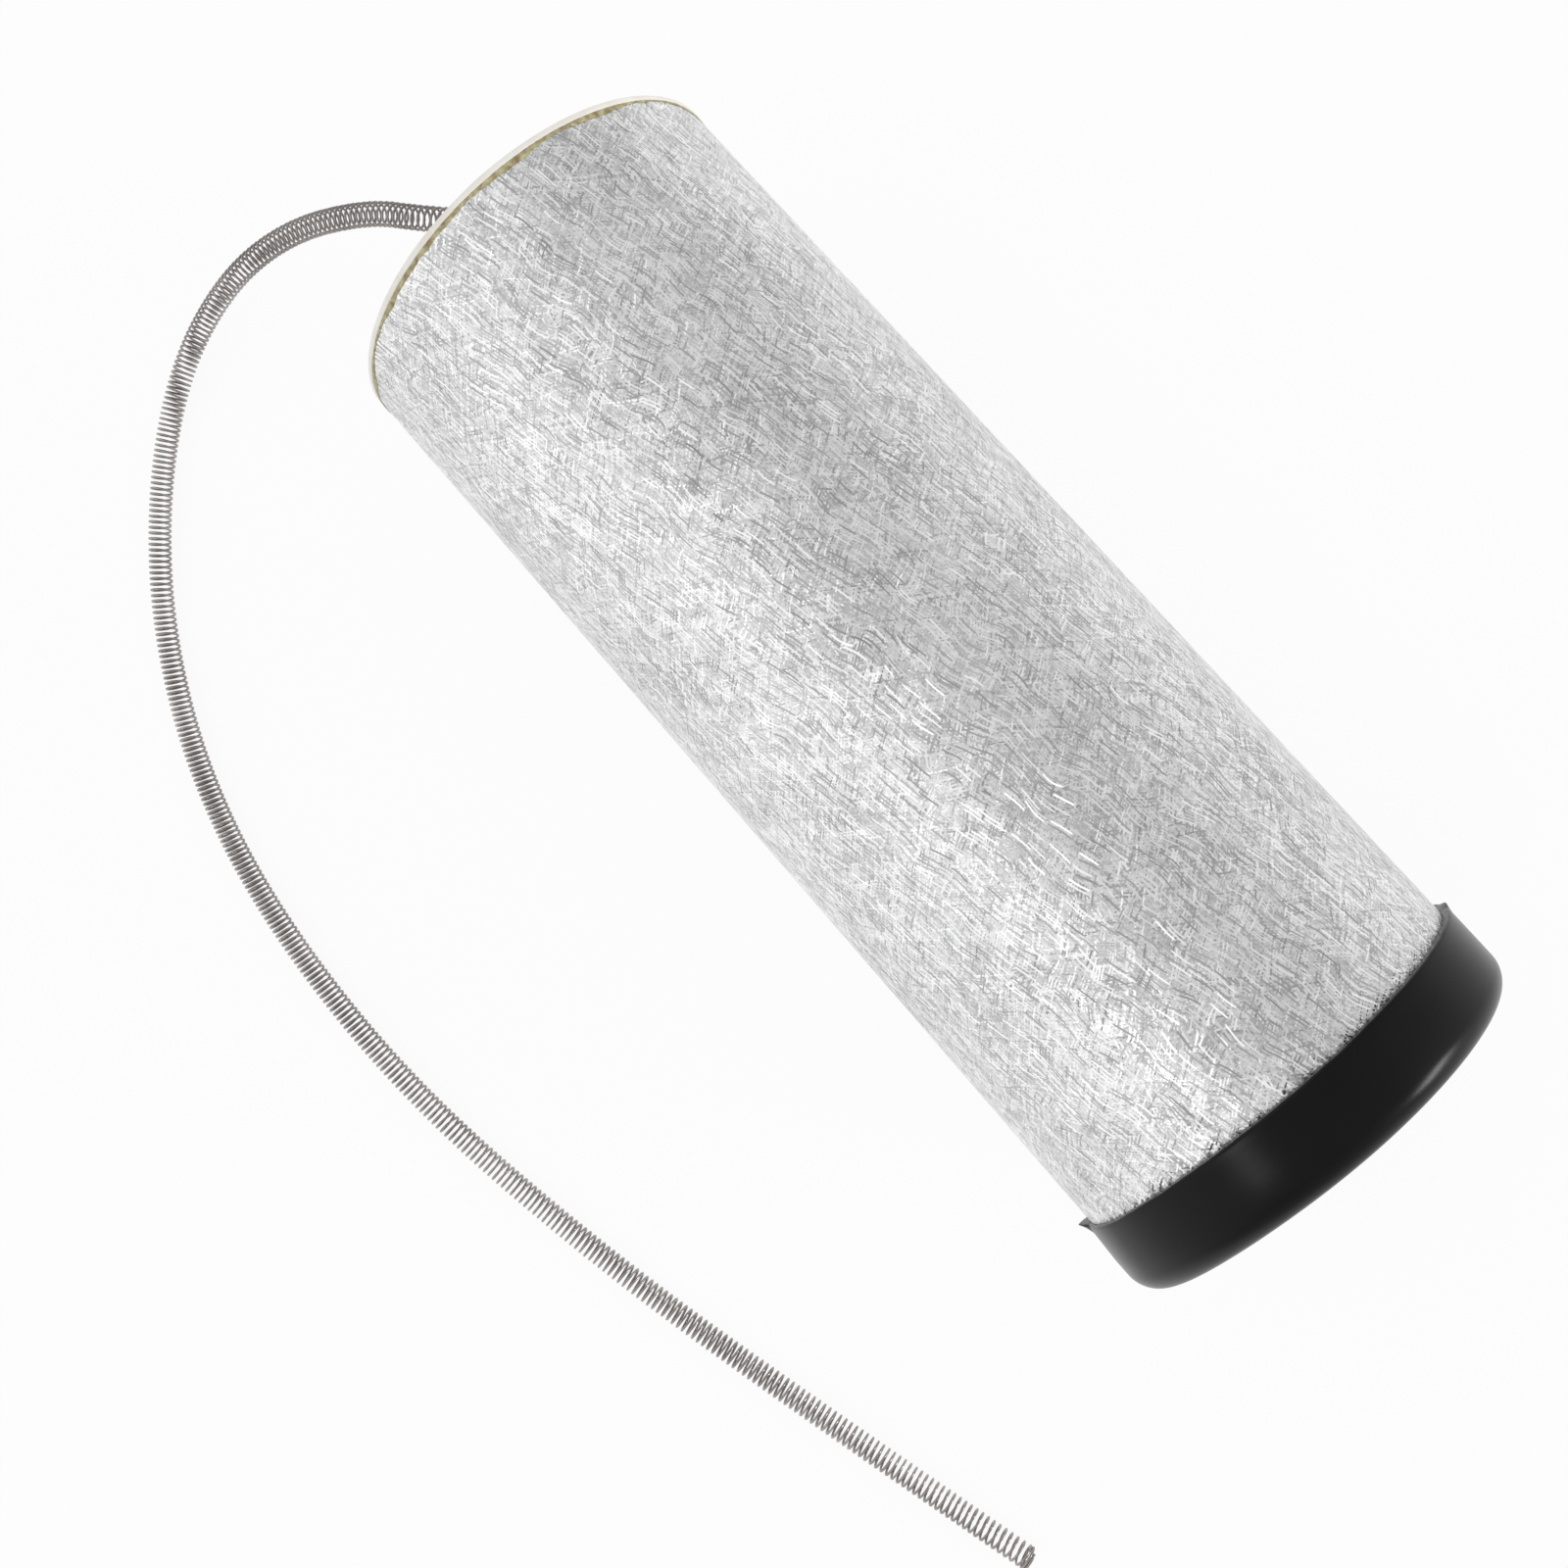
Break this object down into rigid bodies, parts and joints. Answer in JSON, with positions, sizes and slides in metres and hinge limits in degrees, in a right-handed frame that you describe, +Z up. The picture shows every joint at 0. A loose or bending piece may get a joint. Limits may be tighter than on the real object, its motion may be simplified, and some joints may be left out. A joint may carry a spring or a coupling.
{
  "type": "thunder tube",
  "caption": "Hand-held spring drum: a silver-wrapped board tube with a film drumhead, a long limp steel spring hung from the head's centre and a black ring cap on the open end.",
  "frame": {"origin": "on the floor under the middle of the tube, which lies on its side", "axes": "+X along the tube from the drumhead to the open end, +Z up, the spring lies on the -Y side"},
  "size_m": [0.2989, 0.1746, 0.0797],
  "materials": {
    "kraft_board": "matte spiral-wound paperboard",
    "silver_film": "metallised film embossed with crossed hair-line strokes",
    "olive_glue": "uneven dried glue line",
    "pale_film": "stiff translucent film",
    "patch_vinyl": "satin vinyl disc",
    "nickel": "nickel-plated eyelet",
    "washer_steel": "plain stamped steel",
    "bead_nylon": "natural nylon",
    "spring_steel": "bright drawn wire",
    "black_cap": "soft black plastic with a satin gloss"
  },
  "bodies": {
    "tube": {"tube_core": "kraft_board", "silver_wrap": "silver_film", "head_glue": "olive_glue", "drumhead": "pale_film", "centre_patch": "patch_vinyl", "eyelet": "nickel", "end_cap": "black_cap"},
    "swivel": {"tail_washer": "washer_steel"},
    "spring": {"spring": "spring_steel", "stop_bead": "bead_nylon"}
  },
  "joints": [
    {"name": "spring_turn", "type": "hinge", "parent": "tube", "child": "swivel", "pos_m": [-0.09606, 0, 0.03985], "axis": [-1, 0, 0], "continuous": true},
    {"name": "spring_swing", "type": "hinge", "parent": "swivel", "child": "spring", "pos_m": [-0.09606, 0, 0.03985], "axis": [0, 0, 1], "range_deg": [-25, 25]}
  ]
}
